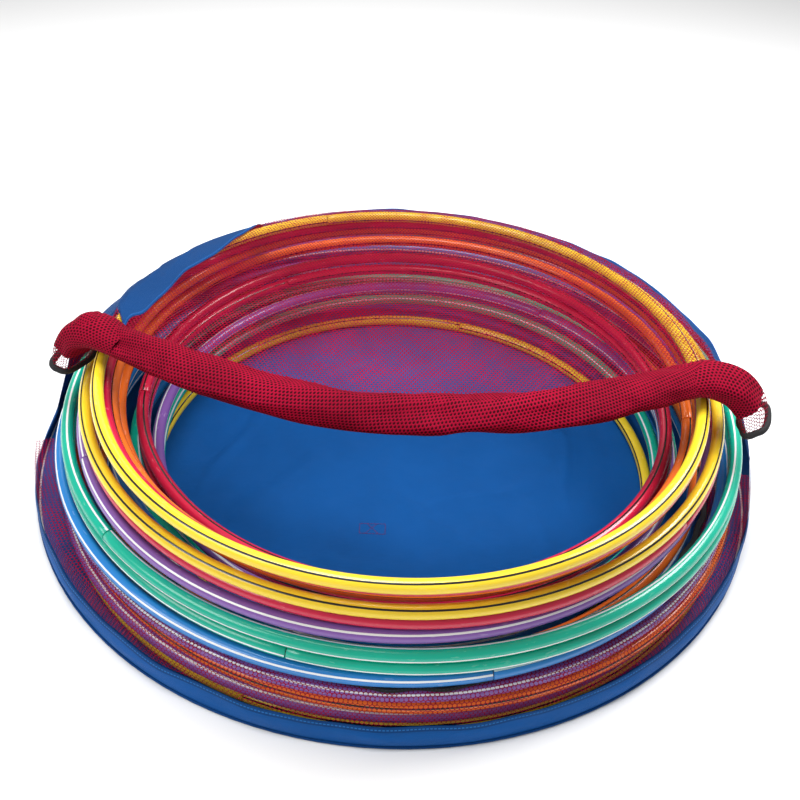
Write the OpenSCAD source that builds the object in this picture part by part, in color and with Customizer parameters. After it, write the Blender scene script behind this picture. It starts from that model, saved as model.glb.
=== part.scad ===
// Twenty-four gymnastics hoops in a round storage bag: blue cloth base and wall, red net cover.
// Millimetres, +Z up. The origin is the middle of the bag's underside, and -Y is the open side of the mouth.

/* [Hoops] */
// Outer diameter of the hoop tubing
tube_d = 16; // [12:0.5:20]
// Wall of the hoop tubing
tube_wall = 2; // [1.2:0.1:3]
// Outside diameter of the largest hoops
hoop_xl_d = 914; // [760:1:1100]
// How much smaller the second size is
step_l = 76; // [60:1:100]
// How much smaller again the third size is
step_m = 76; // [60:1:100]
// How much smaller again the smallest size is
step_s = 51; // [30:1:80]
// Free height between one layer of hoops and the next
layer_gap = 0.8; // [0.6:0.1:4]
// Length of the plug that joins the two ends of a tube
plug_len = 44; // [24:1:80]
// Diameter of the pins that hold the plug
pin_d = 1.6; // [1:0.1:3]

/* [Bag] */
// Room left in the bag round the largest hoops
bag_room = 43; // [38:1:120]
// Thickness of the base and wall cloth
cloth_t = 1.6; // [1:0.1:4]
// Height of the slumped wall at the front
wall_front_h = 34; // [20:1:50]
// Height of the standing wall at the back
wall_back_h = 120; // [60:1:150]
// Thickness of the net
net_t = 1.6; // [1:0.1:3]
// Free height left under the tucked front edge of the net
lip_room = 4; // [3.4:0.1:12]
// Width of the rolled net band across the mouth
band_w = 60; // [30:1:90]
// Height of the rolled net band
band_h = 38; // [20:1:60]
// Thickness of the black binding tape
tape_t = 2.2; // [1.4:0.1:3]
// Width of the black binding tape
tape_w = 7; // [4:0.5:14]

/* [Hidden] */
$fn = 96;
clear = 0.3;
seam_gap = 0.4;
fit_gap = 0.05;
pitch = tube_d + layer_gap;
sizes = [
    hoop_xl_d,
    hoop_xl_d - step_l,
    hoop_xl_d - step_l - step_m,
    hoop_xl_d - step_l - step_m - step_s
];
XL = 0;
L = 1;
M = 2;
S = 3;
rainbow = ["gold", "rebeccapurple", "orangered", "royalblue", "mediumseagreen", "crimson"];
YELLOW = 0;
PURPLE = 1;
ORANGE = 2;
BLUE = 3;
GREEN = 4;
RED = 5;
names = ["yellow", "purple", "orange", "blue", "green", "red"];

// Each hoop: colour, size, layer counted from the floor, place of its centre, direction of its seam
hoops = [
    [YELLOW, XL, 0, 5, -30, 250],
    [PURPLE, XL, 1, 1, -30, 305],
    [ORANGE, XL, 2, 11, -29, 215],
    [PURPLE, XL, 3, 5, -27, 196],
    [BLUE, XL, 4, -1, -24, 285],
    [GREEN, XL, 5, 10, -20, 256],
    [GREEN, XL, 6, 10, -17, 223],
    [PURPLE, L, 7, 2, -45, 205],
    [RED, L, 8, 9, -39, 322],
    [YELLOW, L, 9, 8, -40, 150],
    [ORANGE, M, 10, 13, -65, 308],
    [RED, M, 11, 9, -77, 40],
    [YELLOW, M, 12, 5, -88, 110],
    [YELLOW, S, 0, 11, -46, 75],
    [BLUE, M, 1, 5, -23, 340],
    [BLUE, L, 2, 7, -25, 20],
    [GREEN, S, 2, 20, -31, 330],
    [ORANGE, L, 3, 7, -21, 95],
    [GREEN, M, 3, 13, -17, 165],
    [PURPLE, S, 4, 27, -50, 55],
    [BLUE, M, 5, -7, -33, 190],
    [RED, S, 6, 14, -51, 125],
    [RED, S, 7, 12, -44, 187],
    [ORANGE, M, 8, 11, -42, 350]
];
function hoop_r(h) = (sizes[h[1]] - tube_d) / 2;
function hoop_z(layer) = cloth_t + layer_gap + tube_d / 2 + layer * pitch + (layer > 3 ? lip_room : 0);
function two(n) = n < 10 ? str("0", n) : str(n);
function hoop_name(i) = str("hoop_", two(i + 1), "_", names[hoops[i][0]]);
function joiner_name(i) = str("joiner_", two(i + 1));
top_layer = max([for (h = hoops) h[2]]);
pile_top = hoop_z(top_layer) + tube_d / 2;

// Bag: the wall's upper edge lies in one plane that climbs from the front to the back
bag_d = hoop_xl_d + 2 * bag_room;
bag_r = bag_d / 2;
rim_slope = (wall_back_h - wall_front_h) / bag_d;
rim_tilt = atan(rim_slope);
function rim_z(y) = wall_front_h + (y + bag_r) * rim_slope;

// Reach of the pile sideways in each of its three steps, which the net and the band stay outside of
function reach(s) = max([for (h = hoops) if (h[1] == s) hoop_r(h) + tube_d / 2 + abs(h[3])]);
step_1 = hoop_z(6) + tube_d / 2;
step_2 = hoop_z(9) + tube_d / 2;
air = 6;

// Net over the back half. Each row: radius, place of its centre along Y, height above the floor.
// The lowest row stands on the rim, so its height is 0 here and comes from rim_z.
net_top = pile_top + air / 2;
net_rows = [
    [bag_r - cloth_t, 0, 0],
    [reach(XL) + air, -10, step_1 - tube_d / 2],
    [reach(XL) + air / 2, -14, step_1 + air / 2],
    [reach(L) + air, -30, step_2 - tube_d],
    [reach(L) + air / 2, -38, step_2 + air / 2],
    [reach(M) + air, -70, pile_top - tube_d],
    [reach(M) - tube_d / 4, -80, net_top]
];
net_cols = 36;
net_fwd = 110;
side_cols = 3;
flat_rows = 4;
function net_at(row, c) = let (
        r = net_rows[row][0],
        cy = net_rows[row][1],
        a = 180 - 180 * min(max(c - side_cols, 0), net_cols) / net_cols,
        ahead = max(side_cols - c, c - side_cols - net_cols, 0) * net_fwd / side_cols
    )
    row == 0
        ? let (y = r * sin(a) - ahead) [sign(cos(a)) * sqrt(r * r - y * y), y, rim_z(y) + tape_w + clear]
        : [r * cos(a), cy * (1 - ahead / net_fwd) + r * sin(a) - ahead, net_rows[row][2]];

// Band across the mouth, left end to right end. The stretch that lies level over the pile is given in shares
// of its half length; each point ends with the share of the roll's full width there.
band_z = pile_top + air / 2 + band_h / 2;
shoulder = reach(M) + 1;
level_route = [
    [-1, -0.22, 0.86],
    [-0.886, -0.3, 0.8],
    [-0.747, -0.375, 0.88],
    [-0.57, -0.465, 1],
    [-0.38, -0.54, 1],
    [-0.19, -0.585, 1],
    [0, -0.6, 1],
    [0.19, -0.59, 1],
    [0.38, -0.562, 1],
    [0.57, -0.506, 1],
    [0.734, -0.446, 0.94],
    [0.886, -0.375, 0.88],
    [0.982, -0.324, 0.86]
];
band_route = concat(
    [[-bag_r + 34, -0.013 * shoulder, step_2, 0.62], [-bag_r + 66, -0.106 * shoulder, step_2 + 40, 0.8]],
    [for (p = level_route) [p[0] * shoulder, p[1] * shoulder, band_z, p[2]]],
    [
        [shoulder + 31, -0.299 * shoulder, band_z - 8, 0.9],
        [bag_r - 38, -0.268 * shoulder, step_2 + 36, 0.8],
        [bag_r - 12, -0.233 * shoulder, step_2 + 2, 0.66]
    ]
);
band_back = [for (p = band_route) [p[0], p[1] + p[3] * band_w / 2 + clear]];
function along(path, t) = let (
        n = len(path) - 1,
        k = min(floor(t * n), n - 1),
        f = t * n - k
    ) path[k] * (1 - f) + path[k + 1] * f;

// Front edge of the net, tucked between the layers: direction and distance from the middle
lip_from = -166;
lip_to = -14;
lip_cols = 38;
lip_z = hoop_z(3) + tube_d / 2 + (lip_room + layer_gap) / 2;
lip_in = [
    [-166, 420],
    [-148, 412],
    [-130, 416],
    [-119, 442],
    [-104, 456],
    [-90, 476],
    [-80, 476],
    [-70, 460],
    [-54, 464],
    [-32, 446],
    [-14, 430]
];
lip_drawn_r = 500;
function lip_edge(a) = lookup(a, lip_in) * bag_r / lip_drawn_r;
function polar(r, a, z) = [r * cos(a), r * sin(a), z];

// A closed solid between two grids of points with the same number of rows and columns
module slab(top, under) {
    rows = len(top);
    cols = len(top[0]);
    n = rows * cols;
    flat_list = [for (g = [top, under]) for (row = g) for (p = row) p];
    function at(r, c) = r * cols + c;
    quads = [
        for (r = [0:rows - 2]) for (c = [0:cols - 2]) [at(r, c), at(r + 1, c), at(r + 1, c + 1), at(r, c + 1)]
    ];
    tri = [for (q = quads) for (t = [[q[0], q[1], q[2]], [q[0], q[2], q[3]]]) t];
    back = [for (t = tri) [t[2] + n, t[1] + n, t[0] + n]];
    ring = concat(
        [for (c = [0:cols - 1]) at(0, c)],
        [for (r = [1:rows - 1]) at(r, cols - 1)],
        [for (c = [cols - 2:-1:0]) at(rows - 1, c)],
        [for (r = [rows - 2:-1:1]) at(r, 0)]
    );
    m = len(ring);
    edge = [
        for (i = [0:m - 1]) let (a = ring[i], b = ring[(i + 1) % m]) for (t = [[a, b, b + n], [a, b + n, a + n]]) t
    ];
    polyhedron(flat_list, concat(tri, back, edge));
}

// A closed tube through rings of points
module rings_solid(rings) {
    k = len(rings[0]);
    m = len(rings);
    pts = [for (r = rings) for (p = r) p];
    body = [
        for (i = [0:m - 2]) for (j = [0:k - 1]) let (
            a = i * k + j,
            b = i * k + (j + 1) % k
        ) for (t = [[a, a + k, b + k], [a, b + k, b]]) t
    ];
    first = [for (j = [0:k - 1]) j];
    last = [for (j = [k - 1:-1:0]) (m - 1) * k + j];
    polyhedron(pts, concat(body, [first, last]));
}

// Tubing of one hoop, cut through at its seam
module hoop(i) {
    h = hoops[i];
    r = hoop_r(h);
    gap_deg = seam_gap / r * 180 / PI;
    color(rainbow[h[0]])
    translate([h[3], h[4], hoop_z(h[2])])
    difference() {
        rotate([0, 0, h[5] + gap_deg / 2])
        rotate_extrude(angle = 360 - gap_deg)
        translate([r, 0])
        difference() {
            circle(d = tube_d, $fn = 48);
            circle(d = tube_d - 2 * tube_wall, $fn = 48);
        }
        pins(h, pin_d + 2 * fit_gap);
    }
}

// Two pins of a joint, driven in from the inner side of the hoop
module pins(h, d) {
    r = hoop_r(h);
    side_deg = plug_len / 4 / r * 180 / PI;
    for (side = [-1, 1])
        rotate([0, 0, h[5] + side * side_deg])
        translate([r - tube_d / 2 - tube_wall / 4, 0, 0])
        rotate([0, 90, 0])
        cylinder(d = d, h = tube_d / 2 + tube_wall / 4, $fn = 16);
}

// Plug inside the two ends of a tube, with its pins
module joiner(i) {
    h = hoops[i];
    r = hoop_r(h);
    plug_deg = plug_len / r * 180 / PI;
    color("dimgray")
    translate([h[3], h[4], hoop_z(h[2])]) {
        difference() {
            rotate([0, 0, h[5] - plug_deg / 2])
            rotate_extrude(angle = plug_deg)
            translate([r, 0])
            circle(d = tube_d - 2 * tube_wall - 2 * fit_gap, $fn = 48);
            pins(h, pin_d + 2 * fit_gap);
        }
        pins(h, pin_d);
    }
}

// Round cloth floor of the bag
module base_panel() {
    color("mediumblue")
    cylinder(r = bag_r - cloth_t, h = cloth_t);
}

// Everything above the rim plane, raised by lift
module above_rim(lift) {
    translate([0, -bag_r, wall_front_h + lift])
    rotate([rim_tilt, 0, 0])
    translate([-bag_d, -bag_d, 0])
    cube([2 * bag_d, 4 * bag_d, bag_d]);
}

// Cloth wall, low at the front and high at the back
module side_wall() {
    color("mediumblue")
    difference() {
        cylinder(r = bag_r, h = wall_back_h + tape_w);
        translate([0, 0, -1])
        cylinder(r = bag_r - cloth_t, h = wall_back_h + tape_w + 2);
        above_rim(0);
    }
}

// Folded hem on the wall's upper edge, where the net is sewn on
module rim_tape() {
    color("navy")
    intersection() {
        difference() {
            cylinder(r = bag_r + cloth_t / 2, h = wall_back_h + 2 * tape_w);
            translate([0, 0, -1])
            cylinder(r = bag_r - 1.5 * cloth_t, h = wall_back_h + 2 * tape_w + 2);
            above_rim(tape_w);
        }
        above_rim(0);
    }
}

// Piping in the seam between floor and wall
module base_seam_piping() {
    color("navy")
    rotate_extrude()
    translate([bag_r + cloth_t, cloth_t])
    circle(r = cloth_t - fit_gap, $fn = 24);
}

// Square of stitching that fixes a tab under the floor
module stitched_patch() {
    color("purple")
    translate([-41, -196, cloth_t])
    cube([36, 20, layer_gap / 2]);
}

// Net over the back half of the pile, from the rim up to the rolled band
module net_cover() {
    cols = net_cols + 2 * side_cols + 1;
    last = len(net_rows) - 1;
    side = [for (row = [0:last]) [for (c = [0:cols - 1]) net_at(row, c)]];
    flat = [
        for (k = [1:flat_rows]) [
            for (c = [0:cols - 1]) let (
                t = side[last][c],
                b = along(band_back, 0.16 + 0.68 * c / (cols - 1)),
                f = k / flat_rows
            ) [t[0] * (1 - f) + b[0] * f, t[1] * (1 - f) + b[1] * f, net_top]
        ]
    ];
    skin = concat(side, flat);
    inward = [
        for (row = [0:len(skin) - 1]) [
            for (c = [0:cols - 1]) let (
                p = skin[row][c],
                far = max(norm([p[0], p[1]]), 1),
                lean = row == 0 ? 0 : row < last ? 0.6 : 1,
                d = net_t * (1 - lean)
            ) [p[0] * (1 - d / far), p[1] * (1 - d / far), p[2] - net_t * lean]
        ]
    ];
    color("crimson")
    slab(skin, inward);
}

// Net rolled up into a soft band across the mouth
module rolled_band() {
    rings = [for (k = [1:len(band_route) - 2]) band_ring(k, 1)];
    color("crimson")
    rings_solid(rings);
}

// Black taped hems of the band's two ends
module band_end_tape() {
    last = len(band_route) - 2;
    color("black") {
        rings_solid([tape_ring(0, 0.3), tape_ring(0, 1)]);
        rings_solid([tape_ring(last, 0), tape_ring(last, 0.7)]);
    }
}

function band_dir(k) = let (
        n = len(band_route) - 1,
        a = band_route[max(k - 1, 0)],
        b = band_route[min(k + 1, n)],
        d = [b[0] - a[0], b[1] - a[1], b[2] - a[2]]
    ) d / norm(d);
function band_frame(k) = let (
        d = band_dir(k),
        flat = [-d[1], d[0], 0] / norm([d[1], d[0]])
    ) [flat, cross(d, flat)];
function band_ring(k, share) = let (
        p = band_route[k],
        f = band_frame(k),
        w = band_w / 2 * p[3] * share,
        h = band_h / 2 * p[3] * share
    ) [for (j = [0:15]) let (a = -j * 22.5) [p[0], p[1], p[2]] + f[0] * (w * cos(a)) + f[1] * (h * sin(a))];
function tape_ring(k, t) = let (a = band_ring(k, 1), b = band_ring(k + 1, 1))
    [for (j = [0:15]) a[j] * (1 - t) + b[j] * t];

// Front part of the net, from the rim over the lowest hoops and in between two layers
module front_lip() {
    rows = [
        for (k = [0:4]) [
            for (c = [0:lip_cols]) let (
                a = lip_from + (lip_to - lip_from) * c / lip_cols,
                out = bag_r - cloth_t - net_t,
                edge = lip_edge(a) + tape_w + clear,
                rim = rim_z(bag_r * sin(a)) + tape_w + clear
            )
                k == 0 ? polar(out, a, rim)
                : k == 1 ? polar(out - 3, a, max(lip_z + net_t / 2 - air, rim + 1))
                : k == 2 ? polar(out - 9, a, max(lip_z + net_t / 2, rim + 1.5))
                : k == 3 ? polar((out + edge) / 2 - 6, a, lip_z + net_t / 2)
                : polar(edge, a, lip_z + net_t / 2)
        ]
    ];
    under = [
        for (k = [0:4]) [
            for (c = [0:lip_cols]) let (p = rows[k][c], far = norm([p[0], p[1]]), d = k < 2 ? net_t : 0)
                [p[0] * (1 - d / far), p[1] * (1 - d / far), p[2] - (k < 2 ? 0 : net_t)]
        ]
    ];
    color("crimson")
    slab(rows, under);
}

// Black tape sewn round the front edge of the net
module lip_tape() {
    top = [
        for (k = [0, 1]) [
            for (c = [0:lip_cols]) let (a = lip_from + (lip_to - lip_from) * c / lip_cols)
                polar(lip_edge(a) + (1 - k) * tape_w, a, lip_z + tape_t / 2)
        ]
    ];
    under = [for (row = top) [for (p = row) [p[0], p[1], p[2] - tape_t]]];
    color("black")
    slab(top, under);
}

base_panel();
side_wall();
rim_tape();
net_cover();
rolled_band();
band_end_tape();
front_lip();
lip_tape();
base_seam_piping();
stitched_patch();
for (i = [0:len(hoops) - 1]) {
    hoop(i);
    joiner(i);
}
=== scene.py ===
import bpy
import math
from mathutils import Matrix, Vector, noise


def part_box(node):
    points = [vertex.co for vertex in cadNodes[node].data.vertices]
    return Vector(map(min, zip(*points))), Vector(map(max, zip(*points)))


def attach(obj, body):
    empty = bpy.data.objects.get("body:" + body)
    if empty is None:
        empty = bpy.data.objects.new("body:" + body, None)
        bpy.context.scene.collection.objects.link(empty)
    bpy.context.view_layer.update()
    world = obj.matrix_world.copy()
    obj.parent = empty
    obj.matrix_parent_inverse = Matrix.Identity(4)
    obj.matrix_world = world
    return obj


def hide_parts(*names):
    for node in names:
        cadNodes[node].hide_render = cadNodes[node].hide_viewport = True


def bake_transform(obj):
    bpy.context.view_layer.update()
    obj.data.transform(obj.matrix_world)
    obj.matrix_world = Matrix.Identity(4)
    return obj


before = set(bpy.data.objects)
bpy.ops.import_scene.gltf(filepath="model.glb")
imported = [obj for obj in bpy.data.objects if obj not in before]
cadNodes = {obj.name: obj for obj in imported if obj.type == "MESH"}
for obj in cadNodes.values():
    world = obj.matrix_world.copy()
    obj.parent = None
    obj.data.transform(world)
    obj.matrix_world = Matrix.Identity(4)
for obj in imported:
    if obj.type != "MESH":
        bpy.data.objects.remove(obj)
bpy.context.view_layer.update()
turn = 2 * math.pi


def blendValue(a, b, t):
    return a + (b - a) * t


def ease(t):
    t = max(0.0, min(1.0, t))
    return t * t * (3 - 2 * t)


def tableValue(table, x):
    # eased steps between given pairs of (place, value)
    if x <= table[0][0]:
        return table[0][1]
    for (x0, v0), (x1, v1) in zip(table, table[1:]):
        if x <= x1:
            return blendValue(v0, v1, ease((x - x0) / (x1 - x0)))
    return table[-1][1]


def ripple(x, y, size, seed):
    return noise.noise(Vector((x / size + seed * 7.3, y / size - seed * 3.1, seed * 1.7)))


def throughPoints(points, t):
    # smooth curve through points of any dimension, t from 0 to 1
    n = len(points) - 1
    k = min(int(t * n), n - 1)
    f = t * n - k
    a, b, c, d = (points[min(max(k + i, 0), n)] for i in (-1, 0, 1, 2))
    return [
        0.5 * (2 * q + (r - p) * f + (2 * p - 5 * q + 4 * r - s) * f * f + (3 * q - p - 3 * r + s) * f ** 3)
        for p, q, r, s in zip(a, b, c, d)
    ]


def clothGrid(name, rows, uvRows, material, closed=False):
    # a sheet through a grid of points, with its weave laid out in metres
    cols = len(rows[0])
    verts = [p for row in rows for p in row]
    span = cols if closed else cols - 1
    faces = []
    for r in range(len(rows) - 1):
        for c in range(span):
            d = (c + 1) % cols
            faces.append((r * cols + c, r * cols + d, (r + 1) * cols + d, (r + 1) * cols + c))
    mesh = bpy.data.meshes.new(name)
    mesh.from_pydata(verts, [], faces)
    layer = mesh.uv_layers.new(name="weave")
    width = len(uvRows[0])
    i = 0
    for r in range(len(rows) - 1):
        for c in range(span):
            d = c + 1 if width > cols else (c + 1) % cols
            for row, col in ((r, c), (r, d), (r + 1, d), (r + 1, c)):
                layer.data[i].uv = uvRows[row][col]
                i += 1
    mesh.polygons.foreach_set("use_smooth", [True] * len(faces))
    mesh.materials.append(material)
    piece = bpy.data.objects.new(name, mesh)
    bpy.context.scene.collection.objects.link(piece)
    return piece


def cordAlong(name, points, radius, material, closed=False, flat=1.0):
    # a round or flattened edging that follows points
    rows, uvRows = [], []
    n = len(points)
    run = 0.0
    for i, p in enumerate(points):
        before = points[i - 1] if (i or closed) else p
        after = points[(i + 1) % n] if (i < n - 1 or closed) else p
        ahead = (after - before).normalized()
        side = ahead.cross(Vector((0, 0, 1)))
        side = side.normalized() if side.length > 1e-6 else Vector((1, 0, 0))
        up = side.cross(ahead)
        run += (p - before).length if i else 0
        ring = [p + side * radius * math.cos(turn * k / 10) + up * radius * flat * math.sin(turn * k / 10)
                for k in range(10)]
        rows.append(ring)
        uvRows.append([(run, turn * k / 10 * radius) for k in range(11)])
    if closed:
        rows.append(rows[0])
        uvRows.append([(run + 0.01, turn * k / 10 * radius) for k in range(11)])
    return clothGrid(name, rows, uvRows, material, closed=True)


def newFinish(name):
    finish = bpy.data.materials.new(name)
    finish.use_nodes = True
    tree = finish.node_tree
    return finish, tree, tree.nodes["Principled BSDF"]


def place(tree, kind):
    # "weave" is the laid-out cloth or tube, "piece" is the object's own space
    if kind == "weave":
        node = tree.nodes.new("ShaderNodeUVMap")
        node.uv_map = "weave"
        return node.outputs[0]
    return tree.nodes.new("ShaderNodeTexCoord").outputs["Object"]


def feed(tree, socket, value):
    if hasattr(value, "is_output"):
        tree.links.new(value, socket)
    else:
        socket.default_value = value


def sums(tree, kind, a, b=0.0, c=0.0):
    node = tree.nodes.new("ShaderNodeMath")
    node.operation = kind
    for socket, value in zip(node.inputs, (a, b, c)):
        feed(tree, socket, value)
    return node.outputs[0]


def vectors(tree, kind, a, b=(0, 0, 0), c=(0, 0, 0)):
    node = tree.nodes.new("ShaderNodeVectorMath")
    node.operation = kind
    for socket, value in zip(node.inputs, (a, b, c)):
        feed(tree, socket, value)
    return node.outputs["Value" if kind == "LENGTH" else "Vector"]


def cloudy(tree, where, scale, stretch=(1, 1, 1), detail=3.0):
    node = tree.nodes.new("ShaderNodeTexNoise")
    node.inputs["Scale"].default_value = scale
    node.inputs["Detail"].default_value = detail
    feed(tree, node.inputs["Vector"], vectors(tree, "MULTIPLY", where, stretch))
    return node.outputs["Fac"]


def remap(tree, value, low, high, toLow=0.0, toHigh=1.0):
    node = tree.nodes.new("ShaderNodeMapRange")
    limits = (("Value", value), ("From Min", low), ("From Max", high), ("To Min", toLow), ("To Max", toHigh))
    for key, number in limits:
        feed(tree, node.inputs[key], number)
    return node.outputs["Result"]


def tint(tree, share, a, b):
    node = tree.nodes.new("ShaderNodeMix")
    node.data_type = "RGBA"
    feed(tree, node.inputs[0], share)
    for socket, value in ((node.inputs[6], a), (node.inputs[7], b)):
        feed(tree, socket, value if hasattr(value, "is_output") else (*value, 1.0))
    return node.outputs[2]


def relief(tree, bsdf, height, strength, distance):
    node = tree.nodes.new("ShaderNodeBump")
    node.inputs["Strength"].default_value = strength
    node.inputs["Distance"].default_value = distance
    feed(tree, node.inputs["Height"], height)
    tree.links.new(node.outputs[0], bsdf.inputs["Normal"])


def shade(colour, share):
    return tuple(min(1.0, c * share) for c in colour)


def wave(tree, value, period):
    return sums(tree, "SINE", sums(tree, "MULTIPLY", value, turn / period))


def splitPlace(tree, where):
    node = tree.nodes.new("ShaderNodeSeparateXYZ")
    feed(tree, node.inputs[0], where)
    return node.outputs


nylon = {
    "blue": (0.003, 0.095, 0.36),
    # hem and piping: the blue darkened about as far as the wall's top, painted shade
    "hem": (0.002, 0.052, 0.20),
    # share of the blue for the wall's top: painted shade, so its lit top reads as dark as the shaded floor
    "paintedShade": 0.5,
    "weave": 0.0011,
    "roughness": (0.5, 0.68),
}


def nylonFinish(name, colour, stitched=False, laid="weave"):
    finish, tree, bsdf = newFinish(name)
    where = place(tree, laid)
    u, v = splitPlace(tree, where)[:2]
    warp = wave(tree, u, nylon["weave"])
    weft = wave(tree, v, nylon["weave"])
    threads = sums(tree, "MULTIPLY", warp, weft)
    broad = cloudy(tree, place(tree, "piece"), 5.0, detail=4.0)
    slubs = cloudy(tree, where, 60.0, (1, 14, 1))
    crush = cloudy(tree, place(tree, "piece"), 26.0, detail=5.0)
    cloth = tint(tree, remap(tree, broad, 0.3, 0.7), shade(colour, 0.84), shade(colour, 1.14))
    cloth = tint(tree, remap(tree, slubs, 0.35, 0.75, 0.0, 0.35), cloth, shade(colour, 1.35))
    cloth = tint(tree, remap(tree, threads, -1.0, 1.0, 0.0, 0.16), cloth, shade(colour, 0.55))
    height = sums(tree, "ADD", sums(tree, "MULTIPLY", threads, 0.1), sums(tree, "MULTIPLY", crush, 0.9))
    if stitched:
        dash = sums(tree, "GREATER_THAN", wave(tree, u, 0.0042), -0.35)
        row = sums(tree, "LESS_THAN", sums(tree, "ABSOLUTE", sums(tree, "SUBTRACT", v, 0.0045)), 0.0005)
        thread = sums(tree, "MULTIPLY", dash, row)
        cloth = tint(tree, thread, cloth, (0.02, 0.17, 0.50))
        height = sums(tree, "ADD", height, sums(tree, "MULTIPLY", row, -0.25))
    feed(tree, bsdf.inputs["Base Color"], cloth)
    feed(tree, bsdf.inputs["Roughness"], remap(tree, crush, 0.2, 0.8, *nylon["roughness"]))
    bsdf.inputs["Specular IOR Level"].default_value = 0.12
    bsdf.inputs["Sheen Weight"].default_value = 0.02
    bsdf.inputs["Sheen Roughness"].default_value = 0.4
    relief(tree, bsdf, height, 0.5, 0.0032)
    return finish


net = {
    "red": (0.33, 0.003, 0.026),
    # near-black red painted in the rolled net's holes: painted shade inside the roll
    "deep": (0.030, 0.0005, 0.004),
    "pitch": 0.0050,
    "tall": 1.74,
    "hole": 0.41,
    "openHole": 0.44,
    "rolledHole": 0.31,
}


def netFinish(name, hole, seeThrough):
    # staggered rows of round holes between knitted yarn
    finish, tree, bsdf = newFinish(name)
    where = place(tree, "weave")
    near = None
    tall = net["tall"]
    scale = (1 / net["pitch"], 1 / (tall * net["pitch"]), 0)
    for shift in (0.0, 0.5):
        cell = vectors(tree, "MULTIPLY_ADD", where, scale, (shift, shift, 0))
        cell = vectors(tree, "SUBTRACT", vectors(tree, "FRACTION", cell), (0.5, 0.5, 0))
        far = vectors(tree, "LENGTH", vectors(tree, "MULTIPLY", cell, (1, tall, 0)))
        near = far if near is None else sums(tree, "MINIMUM", near, far)
    slack = cloudy(tree, where, 55.0, detail=2.0)
    edge = sums(tree, "ADD", hole, remap(tree, slack, 0.3, 0.7, -0.04, 0.04))
    yarn = remap(tree, sums(tree, "SUBTRACT", near, edge), -0.035, 0.035)
    broad = cloudy(tree, place(tree, "piece"), 9.0, detail=4.0)
    fibre = cloudy(tree, where, 1400.0, detail=2.0)
    red = net["red"]
    body = tint(tree, remap(tree, broad, 0.3, 0.7), shade(red, 0.72), shade(red, 1.18))
    body = tint(tree, remap(tree, fibre, 0.3, 0.75, 0.0, 0.4), body, shade(red, 0.45))
    if seeThrough:
        feed(tree, bsdf.inputs["Alpha"], yarn)
    else:
        # a net that is not see-through gets its holes painted dark: painted shade
        body = tint(tree, yarn, net["deep"], body)
    feed(tree, bsdf.inputs["Base Color"], body)
    feed(tree, bsdf.inputs["Roughness"], remap(tree, fibre, 0.2, 0.8, 0.62, 0.85))
    bsdf.inputs["Specular IOR Level"].default_value = 0.05
    relief(tree, bsdf, remap(tree, near, hole, 0.58), 0.5, 0.0008)
    return finish


def tapeFinish(name, colour, lift):
    # ribbed binding tape with a line of stitches
    finish, tree, bsdf = newFinish(name)
    where = place(tree, "weave")
    u, v = splitPlace(tree, where)[:2]
    ribs = wave(tree, u, 0.0012)
    fuzz = cloudy(tree, where, 700.0, detail=2.0)
    dash = sums(tree, "GREATER_THAN", wave(tree, u, 0.004), -0.2)
    row = sums(tree, "LESS_THAN", sums(tree, "ABSOLUTE", sums(tree, "SUBTRACT", v, 0.004)), 0.0005)
    cloth = tint(tree, remap(tree, fuzz, 0.3, 0.7), colour, shade(lift, 0.6))
    cloth = tint(tree, sums(tree, "MULTIPLY", dash, row), cloth, lift)
    feed(tree, bsdf.inputs["Base Color"], cloth)
    feed(tree, bsdf.inputs["Roughness"], remap(tree, fuzz, 0.2, 0.8, 0.6, 0.85))
    bsdf.inputs["Specular IOR Level"].default_value = 0.3
    relief(tree, bsdf, sums(tree, "ADD", sums(tree, "MULTIPLY", ribs, 0.5), fuzz), 0.4, 0.0005)
    return finish


def tubeFinish(name, colour, laid="weave"):
    # extruded plastic: faint drawing lines along the tube, handling scuffs, a soft bloom
    finish, tree, bsdf = newFinish(name)
    where = place(tree, laid)
    lines = cloudy(tree, where, 900.0, (0.02, 1, 1), detail=2.0)
    bloom = cloudy(tree, place(tree, "piece"), 7.0, detail=3.0)
    scuffs = cloudy(tree, where, 130.0, (0.35, 1.6, 1), detail=6.0)
    worn = remap(tree, scuffs, 0.62, 0.72)
    body = tint(tree, remap(tree, bloom, 0.3, 0.7), shade(colour, 0.9), shade(colour, 1.07))
    pale = tuple(blendValue(c, 0.75, 0.35) for c in colour)
    body = tint(tree, sums(tree, "MULTIPLY", worn, 0.3), body, pale)
    feed(tree, bsdf.inputs["Base Color"], body)
    gloss = remap(tree, lines, 0.3, 0.7, 0.17, 0.25)
    feed(tree, bsdf.inputs["Roughness"], sums(tree, "ADD", gloss, sums(tree, "MULTIPLY", worn, 0.22)))
    bsdf.inputs["IOR"].default_value = 1.5
    bsdf.inputs["Coat Weight"].default_value = 0.15
    bsdf.inputs["Coat Roughness"].default_value = 0.12
    relief(tree, bsdf, sums(tree, "ADD", lines, sums(tree, "MULTIPLY", worn, -0.6)), 0.1, 0.0003)
    return finish


tubeColours = {
    "yellow": (0.96, 0.68, 0.03),
    "purple": (0.235, 0.105, 0.41),
    "orange": (0.90, 0.17, 0.018),
    "blue": (0.018, 0.21, 0.58),
    "green": (0.003, 0.43, 0.29),
    "red": (0.60, 0.012, 0.055),
}
darkStriped = ("yellow", "orange", "red")

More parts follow.
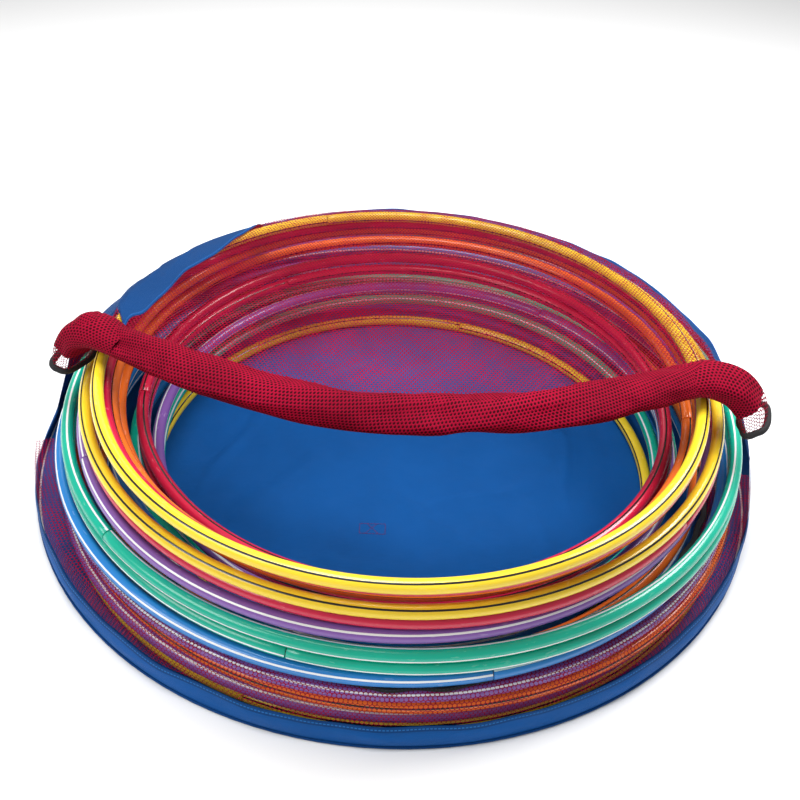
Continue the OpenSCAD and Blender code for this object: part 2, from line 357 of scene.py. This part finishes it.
blueNylon = nylonFinish("blueNylon", nylon["blue"])
# the blue darkened for the wall's top: painted shade
paintedShadeNylon = nylonFinish("paintedShadeNylon", shade(nylon["blue"], nylon["paintedShade"]))
# the hem's darkened blue is painted shade; its stitches are thread colour
hemNylon = nylonFinish("hemNylon", nylon["hem"], stitched=True)
singleNet = netFinish("singleNet", net["hole"], True)
stretchedNet = netFinish("stretchedNet", net["openHole"], True)
rolledNet = netFinish("rolledNet", net["rolledHole"], False)
blackTape = tapeFinish("blackTape", (0.008, 0.008, 0.010), (0.05, 0.05, 0.055))
purpleThread = tapeFinish("purpleThread", (0.17, 0.02, 0.14), (0.35, 0.06, 0.28))
tubeFinishes = {key: tubeFinish("tube" + key.capitalize(), value) for key, value in tubeColours.items()}
darkStripe = tubeFinish("darkStripe", (0.012, 0.012, 0.014))
paleStripe = tubeFinish("paleStripe", (0.86, 0.88, 0.90))
plugPlastic = tubeFinish("plugPlastic", (0.05, 0.05, 0.055), laid="piece")
print("finishes ready")

hoopLook = {
    "tubeRadius": 0.008,
    "bore": 0.006,
    "steps": 176,
    "stripeHalf": 8.0,
    "stripeFaces": 2,
    "gapFaces": 6,
    "seam": 0.0011,
    "sway": 0.0006,
    "lift": 0.00025,
    # for each hoop, where its stripes sit at the front and how far they drift in one round, in degrees
    "stripeAt": (40, 66, 30, 52, 37, -8, 112, 52, 80, 58, 95, 70,
                 63, 20, 75, 50, 35, 90, 15, 60, 42, 28, 100, 72),
    "twist": (30, -44, 26, 18, -30, 14, -20, 16, 34, -18, 28, -24,
              20, 40, -36, 22, 31, -28, 45, -33, 24, 38, -21, 27),
}


def sectionAngles():
    # angles round the tube, with the faces that carry a stripe marked
    angles, striped = [], []
    half, gap = hoopLook["stripeHalf"], 120 - 2 * hoopLook["stripeHalf"]
    for third in range(3):
        start = 120 * third - half
        for k in range(hoopLook["stripeFaces"]):
            angles.append(start + 2 * half * k / hoopLook["stripeFaces"])
            striped.append(True)
        for k in range(hoopLook["gapFaces"]):
            angles.append(start + 2 * half + gap * k / hoopLook["gapFaces"])
            striped.append(False)
    return angles, striped


def makeHoop(index, nodeName, joinerName):
    low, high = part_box(nodeName)
    low, high = Vector(low), Vector(high)
    centre = (low + high) / 2
    tubeRadius = hoopLook["tubeRadius"]
    ringRadius = (high.x - low.x + high.y - low.y) / 4 - tubeRadius
    plugLow, plugHigh = (Vector(p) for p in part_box(joinerName))
    towards = (plugLow + plugHigh) / 2 - centre
    seamAngle = math.atan2(towards.y, towards.x)
    angles, striped = sectionAngles()
    k = len(angles)
    # the stripe's place is set at the front of the hoop and drifts round it
    front = ((-math.pi / 2 - seamAngle) % turn) / turn
    first, twist = hoopLook["stripeAt"][index], hoopLook["twist"][index]
    steps = hoopLook["steps"]
    gap = hoopLook["seam"] / ringRadius / turn / 2
    stations = [(gap, hoopLook["bore"]), (gap, tubeRadius - 0.0004), (gap * 1.7, tubeRadius)]
    stations += [(blendValue(gap * 1.7, 1 - gap * 1.7, i / steps), tubeRadius) for i in range(1, steps)]
    stations += [(1 - gap * 1.7, tubeRadius), (1 - gap, tubeRadius - 0.0004), (1 - gap, hoopLook["bore"])]
    rows, uvRows = [], []
    for share, radius in stations:
        angle = seamAngle + turn * share
        out = Vector((math.cos(angle), math.sin(angle), 0))
        drift = ease(min(share, 1 - share) * 12)
        sway = hoopLook["sway"] * drift * math.sin(2 * angle + index * 1.9)
        lift = hoopLook["lift"] * drift * math.sin(3 * angle + index * 2.7)
        axis = centre + out * (ringRadius + sway) + Vector((0, 0, lift))
        turned = math.radians(first + twist * (share - front))
        ring = []
        for a in angles:
            around = math.radians(a) + turned
            ring.append(axis + out * radius * math.cos(around) + Vector((0, 0, radius * math.sin(around))))
        rows.append(ring)
        along = share * turn * ringRadius
        uvRows.append([(along, math.radians(a) * tubeRadius) for a in angles + [angles[0] + 360]])
    colour = nodeName.rsplit("_", 1)[1]
    piece = clothGrid(nodeName + "_tube", rows, uvRows, tubeFinishes[colour], closed=True)
    piece.data.materials.append(darkStripe if colour in darkStriped else paleStripe)
    last = len(rows) - 3
    count = len(piece.data.polygons)
    marks = [1 if striped[i % k] and 2 <= i // k < last else 0 for i in range(count)]
    piece.data.polygons.foreach_set("material_index", marks)
    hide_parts(nodeName)
    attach(piece, nodeName)
    plug = cadNodes[joinerName]
    for socket in plug.material_slots:
        socket.material = plugPlastic
    return piece


hoopNames = sorted(n for n in cadNodes if n.startswith("hoop_"))
for index, nodeName in enumerate(hoopNames):
    makeHoop(index, nodeName, "joiner_" + nodeName[5:7])
print("hoops made:", len(hoopNames))

bag = {
    "radius": 0.5004,
    "floorRadius": 0.4975,
    "floorTop": 0.0017,
    "girth": 3.14,
    "hollow": (0.010, -0.045, 0.318),
    # long soft folds in the hollow: middle x and y, direction in degrees, half length, width, height
    "folds": (
        (0.115, -0.115, 28, 0.12, 0.011, 0.0034),
        (0.055, -0.165, 152, 0.09, 0.009, 0.0026),
        (-0.16, -0.12, 62, 0.13, 0.014, 0.0030),
        (-0.235, -0.045, 78, 0.11, 0.008, 0.0036),
        (0.205, -0.19, 118, 0.08, 0.010, 0.0028),
        (-0.06, -0.25, 8, 0.11, 0.012, 0.0024),
        (0.02, 0.075, 170, 0.16, 0.013, 0.0040),
        (-0.12, 0.14, 35, 0.10, 0.010, 0.0032),
        (0.18, 0.10, 140, 0.12, 0.012, 0.0036),
        (0.245, -0.05, 96, 0.09, 0.009, 0.0030),
    ),
}


def floorHeight(x, y):
    hx, hy, reach = bag["hollow"]
    loose = 1 - ease((math.hypot(x - hx, y - hy) - reach + 0.045) / 0.055)
    height = 0.0
    for fx, fy, direction, half, width, top in bag["folds"]:
        a = math.radians(direction)
        dx, dy = x - fx, y - fy
        along = dx * math.cos(a) + dy * math.sin(a)
        across = -dx * math.sin(a) + dy * math.cos(a) + 0.012 * math.sin(along / half * 2.1)
        height += top * math.exp(-(across / width) ** 2) * math.exp(-(along / half) ** 2 * 1.2)
    height += 0.0022 * (ripple(x, y, 0.085, 1) + 0.55)
    height += 0.0013 * (ripple(x, y, 0.031, 2) + 0.5)
    return bag["floorTop"] + max(height, 0.0) * loose


def makeFloorCloth():
    rings, spokes = 120, 300
    rows, uvRows = [], []
    for r in range(rings + 1):
        radius = bag["floorRadius"] * max(r, 0.02) / rings
        row = []
        for c in range(spokes):
            a = turn * c / spokes
            x, y = radius * math.cos(a), radius * math.sin(a)
            row.append(Vector((x, y, floorHeight(x, y))))
        rows.append(row)
        uvRows.append([(p.x, p.y) for p in row + row[:1]])
    piece = clothGrid("bag_floor", rows, uvRows, blueNylon, closed=True)
    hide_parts("base_panel")
    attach(piece, "bag")


makeFloorCloth()

band = {
    "width": 0.060,
    "height": 0.038,
    "level": 0.246,
    "fullest": 1.05,
    "shoulder": 0.395,
    # left to right along the pile: x and y in shares of the shoulder, then the share of the full width
    "route": (
        (-1, -0.22, 0.86), (-0.886, -0.3, 0.8), (-0.747, -0.375, 0.88), (-0.57, -0.465, 1),
        (-0.38, -0.54, 1), (-0.19, -0.585, 1), (0, -0.6, 1), (0.19, -0.59, 1), (0.38, -0.562, 1),
        (0.57, -0.506, 1), (0.734, -0.446, 0.94), (0.886, -0.375, 0.88), (0.982, -0.324, 0.86),
    ),
    "leftEnd": ((-0.466, -0.005, 0.1736, 0.62), (-0.434, -0.042, 0.2136, 0.8)),
    "rightEnd": ((0.426, -0.118, 0.238, 0.9), (0.462, -0.106, 0.2096, 0.8), (0.488, -0.092, 0.1756, 0.66)),
}
bandRoute = [list(p) for p in band["leftEnd"]]
bandRoute += [[x * band["shoulder"], y * band["shoulder"], band["level"], w] for x, y, w in band["route"]]
bandRoute += [list(p) for p in band["rightEnd"]]


cover = {
    # rows of the cloth over the pile: the hoops it lies on, room outside them, height
    "rows": ((914, 0.0050, 0.1152), (914, 0.0010, 0.1262), (838, 0.0050, 0.1576), (838, 0.0010, 0.1766),
             (762, 0.0050, 0.2080), ("top", -0.0040, 0.2266)),
    "top": 6,
    # how far each row runs ahead of the middle at the two sides
    "ahead": (-0.055, -0.046, -0.040, -0.012, 0.004, 0.062, 0.090),
    "sideTurn": 10.0,
    "rimTurn": 6.3,
    # height of the wall's edge by direction in degrees
    "rim": ((-180, 0.022), (-165, 0.028), (-150, 0.034), (-35, 0.034), (-15, 0.044), (0, 0.072), (20, 0.106),
            (45, 0.118), (90, 0.120), (118, 0.113), (138, 0.094), (155, 0.060), (168, 0.030), (180, 0.022)),
    # how many rows the blue cloth climbs before the net begins
    "seam": ((-8, 0.02), (2, 0.7), (12, 1.25), (24, 1.15), (36, 0.85), (48, 0.5), (60, 0.32), (110, 0.30),
             (117, 0.8), (123, 2.4), (129, 4.4), (136, 6), (180, 6), (187, 2.4), (190, 0.02)),
    # past the top, how far in it lies on the pile
    "inward": ((134, 0.0), (141, 0.02), (150, 0.048), (160, 0.070), (170, 0.082), (180, 0.080), (188, 0.03)),
}


def hoopCircles():
    # size, middle and outer radius of each hoop that the cloth can lie on
    found = []
    for nodeName in hoopNames[:13]:
        low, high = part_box(nodeName)
        outer = (high[0] - low[0]) / 2
        size = min((914, 838, 762), key=lambda d: abs(d / 2000 - outer))
        found.append((size, (low[0] + high[0]) / 2, (low[1] + high[1]) / 2, outer))
    return found


def hoopReaches():
    # how far the hoops of each size reach, by size and whole degree
    reaches = {}
    for size, x, y, outer in hoopCircles():
        for d in range(181):
            a = math.radians(d)
            reach = outer + x * math.cos(a) + y * math.sin(a)
            reaches[size, d] = max(reach, reaches.get((size, d), 0.0))
            reaches["top", d] = reach  # the uppermost hoop comes last
    return reaches


reaches = hoopReaches()


def rimPoint(direction):
    # direction in degrees, any turn
    d = (direction + 180) % 360 - 180
    a = math.radians(direction)
    x, y = math.cos(a), math.sin(a)
    radius = 0.4972 + 0.0022 * ripple(x, y, 0.11, 5)
    height = tableValue(cover["rim"], d) + 0.0022 * ripple(x, y, 0.09, 6)
    return Vector((radius * x, radius * y, height))


def alongBand(share):
    # the band's back edge, right to left as share runs from 0 to 1
    x, y, z, w = throughPoints(bandRoute, 0.84 - 0.68 * share)
    return Vector((x, y + w * band["width"] / 2 - 0.006, z))


def coverPoint(direction, s):
    # s is 0 on the wall's edge, counts the rows above it and runs on over the flat top to the band;
    # directions beyond 0 and 180 run straight ahead
    inside = min(max(direction, 0.0), 180.0)
    a = math.radians(inside)
    excess = min(max(-direction, direction - 180, 0.0) / cover["sideTurn"], 1.0)
    rim = rimPoint(inside - math.copysign(excess, direction - 90) * cover["rimTurn"])
    points = [list(rim)]
    low = int(inside)
    for (size, room, height), ahead in zip(cover["rows"], cover["ahead"][1:]):
        reach = blendValue(reaches[size, low], reaches[size, min(low + 1, 180)], inside - low) + room
        points.append([reach * math.cos(a), reach * math.sin(a) - ahead * excess, height])
    p = Vector(throughPoints(points, min(s, cover["top"]) / cover["top"]))
    # cloth drawn tight has long shallow tucks running up it
    tuck = math.sin(direction * 0.55 + 2.0 * ripple(direction / 40, s, 1.0, 3)) * 0.0014
    tuck += 0.0022 * ripple(direction / 9, s, 1.0, 4)
    p += Vector((math.cos(a), math.sin(a), 0.25)) * tuck * ease(s) * ease((6.2 - s) / 2)
    if s > cover["top"]:
        f = s - cover["top"]
        share = (direction + cover["sideTurn"]) / (180 + 2 * cover["sideTurn"])
        goal = alongBand(share)
        p = p.lerp(Vector((goal.x, goal.y, p.z)), f)
        loose = math.sin(math.pi * min(f, 1.0))
        waves = 0.0011 * math.sin(p.x * 95 + 2.2 * math.sin(p.y * 21))
        p.z += loose * (waves + 0.0012 * ripple(p.x, p.y, 0.05, 14))
        p.z += 0.004 * f ** 3
    return p


def seamAt(direction):
    d = (direction + 90) % 360 - 90
    if not -8 < d < 180 + cover["sideTurn"]:
        return 0.02
    wavy = 1 + 0.12 * math.sin(d * 0.31) + 0.05 * math.sin(d * 0.62 + 1)
    s = tableValue(cover["seam"], d)
    if s < cover["top"] - 0.6:
        return max(s * wavy, 0.02)
    top, goal = coverPoint(d, cover["top"]), coverPoint(d, cover["top"] + 1)
    over = tableValue(cover["inward"], d) * wavy
    return min(s, cover["top"]) + min(over / max((goal - top).length, 0.001), 0.9)


def wallPoint(direction, s):
    # s from -1 at the floor seam to 0 at the edge, then on over the pile
    if s >= 0:
        d = (direction + 90) % 360 - 90
        if s > 0.02 and -cover["sideTurn"] < d < 180 + cover["sideTurn"]:
            return coverPoint(d, s)
        return rimPoint(direction) + Vector((0, 0, 0.001 * s))
    rim = rimPoint(direction)
    a = math.radians(direction)
    x, y = math.cos(a), math.sin(a)
    t = 1 + s
    bulge = 0.0032 * math.sin(math.pi * t) * (1 + 0.8 * ripple(x, y, 0.16, 7))
    creases = 0.0016 * math.sin(math.pi * t) * ripple(x * 9, y * 9 + t * 2.2, 1.0, 8)
    radius = blendValue(bag["radius"], math.hypot(rim.x, rim.y), t) + bulge + creases
    return Vector((radius * x, radius * y, blendValue(0.0016, rim.z, t)))


def makeWall():
    spokes, below, above = 480, 10, 34
    lower = [[wallPoint(360 * c / spokes, r / below - 1) for c in range(spokes)] for r in range(below + 1)]
    seams = [seamAt(360 * c / spokes) for c in range(spokes)]
    upper = []
    for r in range(1, above + 1):
        upper.append([wallPoint(360 * c / spokes, seams[c] * r / above) for c in range(spokes)])
    rows = lower + upper
    heights = [0.0] * spokes
    uvRows = []
    for r, row in enumerate(rows):
        if r:
            heights = [h + (row[c] - rows[r - 1][c]).length for c, h in enumerate(heights)]
        uvRows.append([(turn * 0.5 * c / spokes, heights[c % spokes]) for c in range(spokes + 1)])
    piece = clothGrid("bag_wall", rows, uvRows, blueNylon, closed=True)
    # from just below the edge up over the pile the wall takes the darkened blue: painted shade
    piece.data.materials.append(paintedShadeNylon)
    marks = [int(i // spokes > below + 2) for i in range(spokes * (below + above))]
    piece.data.polygons.foreach_set("material_index", marks)
    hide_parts("side_wall")
    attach(piece, "bag")
    area = sum(p.area for p in piece.data.polygons)
    print("wall cloth", round(area, 3), "m2")
    return piece, area


wallPiece, wallArea = makeWall()


def bandFrame(route, t):
    x, y, z, w = throughPoints(route, t)
    before, after = throughPoints(route, max(t - 0.01, 0)), throughPoints(route, min(t + 0.01, 1))
    ahead = (Vector(after[:3]) - Vector(before[:3])).normalized()
    side = Vector((-ahead.y, ahead.x, 0)).normalized()
    return Vector((x, y, z)), side, ahead.cross(side), w


def makeBand():
    steps, around = 260, 64
    rows, uvRows = [], []
    first, last = 2.0 / (len(bandRoute) - 1), 1 - 2.9 / (len(bandRoute) - 1)
    length = 1.08
    for i in range(steps + 1):
        share = i / steps
        t = blendValue(first, last, share)
        centre, side, up, w = bandFrame(bandRoute, t)
        closing = min(1.0, math.sqrt(min(share, 1 - share) * 42 + 0.003))
        ends = ease(1 - min(share, 1 - share) * 7)
        along = share * length
        # the free edge of the rolled net winds slowly round the roll
        edgeAt = 0.9 + 1.7 * math.sin(share * 4.1 + 0.4) + 0.5 * math.sin(share * 11)
        row, uvRow = [], []
        for k in range(around + 1):
            angle = turn * k / around
            past = (angle - edgeAt) % turn
            step = 0.085 * math.exp(-past / 0.8) - 0.02
            deep = 0.075 * math.sin(3 * angle + along * 21 + math.sin(along * 9) * 1.3)
            soft = 0.09 * ripple(math.cos(angle) + along * 13, math.sin(angle) * 1.6, 1.0, 11)
            pleats = 0.05 * math.sin(8 * angle + along * 34) * (0.3 + 1.3 * ends)
            diagonal = (0.040 + 0.045 * ends) * math.sin(angle * 2 - along * 62 + 1.4 * math.sin(along * 17))
            swell = min(1 + step + deep + soft + pleats * 0.6 + diagonal, band["fullest"])
            squareness = 1 + 0.05 * math.cos(4 * angle)
            x = band["width"] / 2 * w * closing * swell * squareness * math.cos(angle)
            z = band["height"] / 2 * w * closing * swell * squareness * math.sin(angle)
            z = max(z, -band["height"] / 2 * w)
            row.append(centre + side * x + up * z)
            uvRow.append((along + 0.01 * math.sin(angle + along * 8), angle * 0.0255 + along * 0.12))
        rows.append(row[:-1])
        uvRows.append(uvRow)
    piece = clothGrid("rolled_net_band", rows, uvRows, rolledNet, closed=True)
    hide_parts("rolled_band")
    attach(piece, "mouth_band")


makeBand()

sleeve = {
    # centre of each ring with its half width and half height, from inside the roll to the open mouth
    "left": (
        (-0.330, -0.136, 0.246, 0.0215, 0.0130), (-0.366, -0.110, 0.246, 0.0280, 0.0185),
        (-0.392, -0.094, 0.235, 0.0320, 0.0205), (-0.408, -0.086, 0.213, 0.0345, 0.0200),
        (-0.417, -0.082, 0.188, 0.0345, 0.0170),
    ),
    "right": (
        (0.330, -0.158, 0.246, 0.0220, 0.0135), (0.370, -0.144, 0.246, 0.0290, 0.0190),
        (0.404, -0.142, 0.237, 0.0320, 0.0205), (0.428, -0.145, 0.216, 0.0345, 0.0200),
        (0.441, -0.149, 0.193, 0.0345, 0.0170),
    ),
    "opensAt": 0.7,
    "girth": 0.18,
    "binding": 0.0042,
}


def makeSleeve(side):
    rings = [list(p) for p in sleeve[side]]
    steps, around = 40, 56
    rows, uvRows = [], []
    run = 0.0
    seed = 20 if side == "left" else 24
    for i in range(steps + 1):
        t = i / steps
        x, y, z, half, tall = throughPoints(rings, t)
        before, after = throughPoints(rings, max(t - 0.03, 0)), throughPoints(rings, min(t + 0.03, 1))
        ahead = (Vector(after[:3]) - Vector(before[:3])).normalized()
        across = Vector((-ahead.y, ahead.x, 0)).normalized()
        up = ahead.cross(across)
        centre = Vector((x, y, z))
        if rows:
            run += (centre - last).length
        last = centre
        row = []
        for k in range(around):
            angle = turn * k / around
            crumple = 0.09 * ripple(math.cos(angle) * 1.4 + t * 1.6, math.sin(angle) * 1.4, 1.0, seed)
            crumple *= ease(t * 2)
            fold = 0.05 * math.sin(5 * angle + t * 4 + seed) * ease(t * 1.5)
            swell = 1 + crumple + fold
            wide, high = half * swell * math.cos(angle), tall * swell * math.sin(angle)
            row.append(centre + across * wide + up * high)
        rows.append(row)
        uvRows.append([(run, turn * k / around * 0.027) for k in range(around + 1)])
    cloth = clothGrid("band_end_net_" + side, rows, uvRows, rolledNet, closed=True)
    cloth.data.materials.append(singleNet)
    marks = [1 if i // around > steps * sleeve["opensAt"] else 0 for i in range(len(cloth.data.polygons))]
    cloth.data.polygons.foreach_set("material_index", marks)
    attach(cloth, "mouth_band")
    hem = cordAlong("band_end_binding_" + side, rows[-1], sleeve["binding"], blackTape, closed=True)
    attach(hem, "mouth_band")
    return hem


leftHem = makeSleeve("left")
makeSleeve("right")
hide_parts("band_end_tape")
print("band made")


def makeNet():
    columns, run = 240, 96
    rows = [[None] * (columns + 1) for _ in range(run + 1)]
    uvRows = [[None] * (columns + 1) for _ in range(run + 1)]
    side = cover["sideTurn"]
    for c in range(columns + 1):
        direction = blendValue(-side, 180 + side, c / columns)
        base = seamAt(min(max(direction, -side + 0.1), 180 + side - 0.1))
        top = coverPoint(direction, cover["top"])
        out = Vector((top.x, top.y + 0.08)).normalized()
        reach = 0.0
        above = None
        for r in range(run, -1, -1):
            s = blendValue(base, cover["top"] + 1, r / run)
            p = coverPoint(direction, s)
            rows[r][c] = p
            if s >= cover["top"]:
                uvRows[r][c] = (p.x, p.y)
            else:
                reach += (p - above).length
                uvRows[r][c] = (top.x + out.x * reach, top.y + out.y * reach)
            above = p
    piece = clothGrid("net_over_back", rows, uvRows, singleNet)
    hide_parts("net_cover")
    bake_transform(piece)


makeNet()

hemDepth = 0.0068


def makeHem():
    spokes = 640
    top, low = [], []
    for c in range(spokes):
        direction = 360 * c / spokes
        s = seamAt(direction)
        a = wallPoint(direction, s)
        b = wallPoint(direction, s - 0.16 if s > 0.2 else -0.18 * 0.034 / max(rimPoint(direction).z, 0.03))
        angle = math.radians(direction)
        out = Vector((math.cos(angle), math.sin(angle), 0.6)).normalized()
        down = (b - a).normalized() * hemDepth
        top.append(a + out * 0.0009)
        low.append(a + down + out * 0.0012)
    rows = [[p - Vector((0, 0, 0.0004)) for p in top], top]
    for k in range(1, 6):
        swell = Vector((0, 0, 0.0005 * math.sin(math.pi * k / 5)))
        rows.append([t.lerp(l, k / 5) + swell for t, l in zip(top, low)])
    uvRows = []
    for r in range(len(rows)):
        uvRows.append([(turn * 0.5 * c / spokes, hemDepth * r / 6) for c in range(spokes + 1)])
    piece = clothGrid("net_seam_hem", rows, uvRows, hemNylon, closed=True)
    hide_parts("rim_tape")
    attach(piece, "bag")
    return piece


hemPiece = makeHem()

lip = {
    "from": -166,
    "to": -14,
    "level": 0.0712,
    "outer": 0.4966,
    # distance of the bound edge from the middle, by direction
    "edge": ((-166, 0.420), (-148, 0.412), (-130, 0.416), (-119, 0.442), (-104, 0.456), (-90, 0.476),
             (-80, 0.476), (-70, 0.460), (-54, 0.464), (-32, 0.446), (-14, 0.430)),
}


def lipEdge(direction):
    return tableValue(lip["edge"], direction) + 0.0016 * math.sin(direction * 0.9)


def makeLip():
    columns, down = 300, 28
    rows = [[None] * (columns + 1) for _ in range(down + 1)]
    uvRows = [[None] * (columns + 1) for _ in range(down + 1)]
    edgeLine = []
    for c in range(columns + 1):
        direction = blendValue(lip["from"], lip["to"], c / columns)
        a = math.radians(direction)
        rim = rimPoint(direction)
        outer, edge = lip["outer"], lipEdge(direction)
        topHeight = max(lip["level"], rim.z + 0.002)
        profile = [
            (math.hypot(rim.x, rim.y) - 0.001, rim.z), (outer - 0.0005, blendValue(rim.z, topHeight, 0.5)),
            (outer - 0.003, topHeight - 0.005), (outer - 0.009, topHeight - 0.0006),
            (blendValue(outer, edge, 0.5), lip["level"] + 0.0004), (edge + 0.003, lip["level"]),
        ]
        reach = 0.0
        last = None
        for r in range(down + 1):
            radius, height = throughPoints(profile, r / down)
            wrinkle = 0.0013 * ripple(direction / 5, r / 9, 1.0, 16) * math.sin(math.pi * r / down)
            p = Vector(((radius + wrinkle) * math.cos(a), (radius + wrinkle) * math.sin(a), height))
            reach += (p - last).length if last else 0
            last = p
            rows[r][c] = p
            uvRows[r][c] = (a * 0.49, reach)
        edgeLine.append(Vector((edge * math.cos(a), edge * math.sin(a), lip["level"])))
    piece = clothGrid("net_front_lip", rows, uvRows, stretchedNet)
    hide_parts("front_lip")
    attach(piece, "bag")
    binding = cordAlong("net_lip_binding", edgeLine, 0.0040, blackTape, flat=0.42)
    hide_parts("lip_tape")
    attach(binding, "bag")


makeLip()

# the piping reuses the hem's darkened blue, painted shade
for socket in cadNodes["base_seam_piping"].material_slots:
    socket.material = nylonFinish("pipingNylon", nylon["hem"], laid="piece")

patch = {"middle": (-0.023, -0.186), "size": (0.034, 0.018), "stitch": 0.0030, "thread": 0.00042}


def makeStitches():
    cx, cy = patch["middle"]
    w, h = patch["size"][0] / 2, patch["size"][1] / 2
    lines = [((-w, -h), (w, -h)), ((w, -h), (w, h)), ((w, h), (-w, h)), ((-w, h), (-w, -h)),
             ((-w * 0.55, -h), (w * 0.35, h)), ((-w * 0.45, h), (w * 0.5, -h))]
    verts, faces = [], []
    for (x0, y0), (x1, y1) in lines:
        length = math.hypot(x1 - x0, y1 - y0)
        count = max(1, round(length / (patch["stitch"] * 1.35)))
        for k in range(count):
            start, stop = k / count, (k + 0.78) / count
            ends = [(cx + blendValue(x0, x1, t), cy + blendValue(y0, y1, t)) for t in (start, stop)]
            ahead = Vector((x1 - x0, y1 - y0, 0)).normalized()
            side = Vector((-ahead.y, ahead.x, 0))
            base = len(verts)
            for i in range(6):
                t = i / 5
                x, y = blendValue(ends[0][0], ends[1][0], t), blendValue(ends[0][1], ends[1][1], t)
                hump = patch["thread"] * (1.1 * math.sin(math.pi * t) + 0.2)
                centre = Vector((x, y, floorHeight(x, y) + hump))
                thick = patch["thread"] * (0.55 + 0.45 * math.sin(math.pi * t))
                for j in range(8):
                    angle = turn * j / 8
                    across = side * thick * math.cos(angle)
                    verts.append(centre + across + Vector((0, 0, thick * math.sin(angle))))
            for i in range(5):
                for j in range(8):
                    a, b = base + i * 8 + j, base + i * 8 + (j + 1) % 8
                    faces.append((a, b, b + 8, a + 8))
            faces.append(tuple(base + j for j in range(7, -1, -1)))
            faces.append(tuple(base + 40 + j for j in range(8)))
    mesh = bpy.data.meshes.new("stitched_square")
    mesh.from_pydata(verts, [], faces)
    layer = mesh.uv_layers.new(name="weave")
    for loop in mesh.loops:
        co = mesh.vertices[loop.vertex_index].co
        layer.data[loop.index].uv = (co.x, co.y)
    mesh.polygons.foreach_set("use_smooth", [True] * len(faces))
    mesh.materials.append(purpleThread)
    piece = bpy.data.objects.new("stitched_square", mesh)
    bpy.context.scene.collection.objects.link(piece)
    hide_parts("stitched_patch")
    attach(piece, "bag")


makeStitches()
print("bag made")

studio = {
    "floor": (0.90, 0.90, 0.90),
    "world": 0.42,
    "cameraAt": (0.005, -1.0617, 0.9233),
    "pitch": 38.6,
    "roll": 2.87,
    "lens": 42.75,
    # name, place, width, height, watts
    "lamps": (
        ("keyLamp", (1.25, 0.75, 1.9), 1.1, 0.7, 40),
        ("fillLamp", (-1.7, -1.1, 1.7), 1.4, 1.0, 24),
        ("topLamp", (-0.2, 0.1, 2.4), 1.3, 0.9, 46),
        ("backLamp", (-0.9, 1.7, 1.3), 1.4, 0.6, 6),
    ),
}


def makeStudio():
    scene = bpy.context.scene
    ground = bpy.data.meshes.new("studio_floor")
    s = 6.0
    low = -0.0006
    ground.from_pydata([(-s, -s, low), (s, -s, low), (s, s, low), (-s, s, low)], [], [(0, 1, 2, 3)])
    paper, tree, bsdf = newFinish("paperFloor")
    grain = cloudy(tree, place(tree, "piece"), 3.0, detail=2.0)
    feed(tree, bsdf.inputs["Base Color"], tint(tree, grain, shade(studio["floor"], 0.995), studio["floor"]))
    bsdf.inputs["Roughness"].default_value = 0.9
    bsdf.inputs["Specular IOR Level"].default_value = 0.1
    ground.materials.append(paper)
    floorPiece = bpy.data.objects.new("studio_floor", ground)
    scene.collection.objects.link(floorPiece)
    world = bpy.data.worlds.new("studioAir")
    world.use_nodes = True
    world.node_tree.nodes["Background"].inputs[0].default_value = (1.0, 1.0, 1.0, 1.0)
    world.node_tree.nodes["Background"].inputs[1].default_value = studio["world"]
    scene.world = world
    for name, at, wide, tall, watts in studio["lamps"]:
        lamp = bpy.data.lights.new(name, "AREA")
        lamp.shape = "RECTANGLE"
        lamp.size, lamp.size_y, lamp.energy = wide, tall, watts
        holder = bpy.data.objects.new(name, lamp)
        holder.location = at
        holder.rotation_euler = (Vector((0, 0, 0.1)) - Vector(at)).to_track_quat("-Z", "Y").to_euler()
        scene.collection.objects.link(holder)
    pitch, roll = math.radians(studio["pitch"]), math.radians(studio["roll"])
    ahead = Vector((0, math.cos(pitch), -math.sin(pitch)))
    up = Vector((0, math.sin(pitch), math.cos(pitch)))
    right = Vector((1, 0, 0))
    across = right * math.cos(roll) + up * math.sin(roll)
    above = up * math.cos(roll) - right * math.sin(roll)
    lens = bpy.data.cameras.new("studioCamera")
    lens.lens, lens.sensor_width = studio["lens"], 36.0
    camera = bpy.data.objects.new("studioCamera", lens)
    axes = Matrix((across, above, -ahead)).transposed()
    camera.matrix_world = Matrix.Translation(studio["cameraAt"]) @ axes.to_4x4()
    scene.collection.objects.link(camera)
    scene.camera = camera
    scene.view_settings.view_transform = "Standard"
    scene.view_settings.look = "None"


makeStudio()
print("studio made")
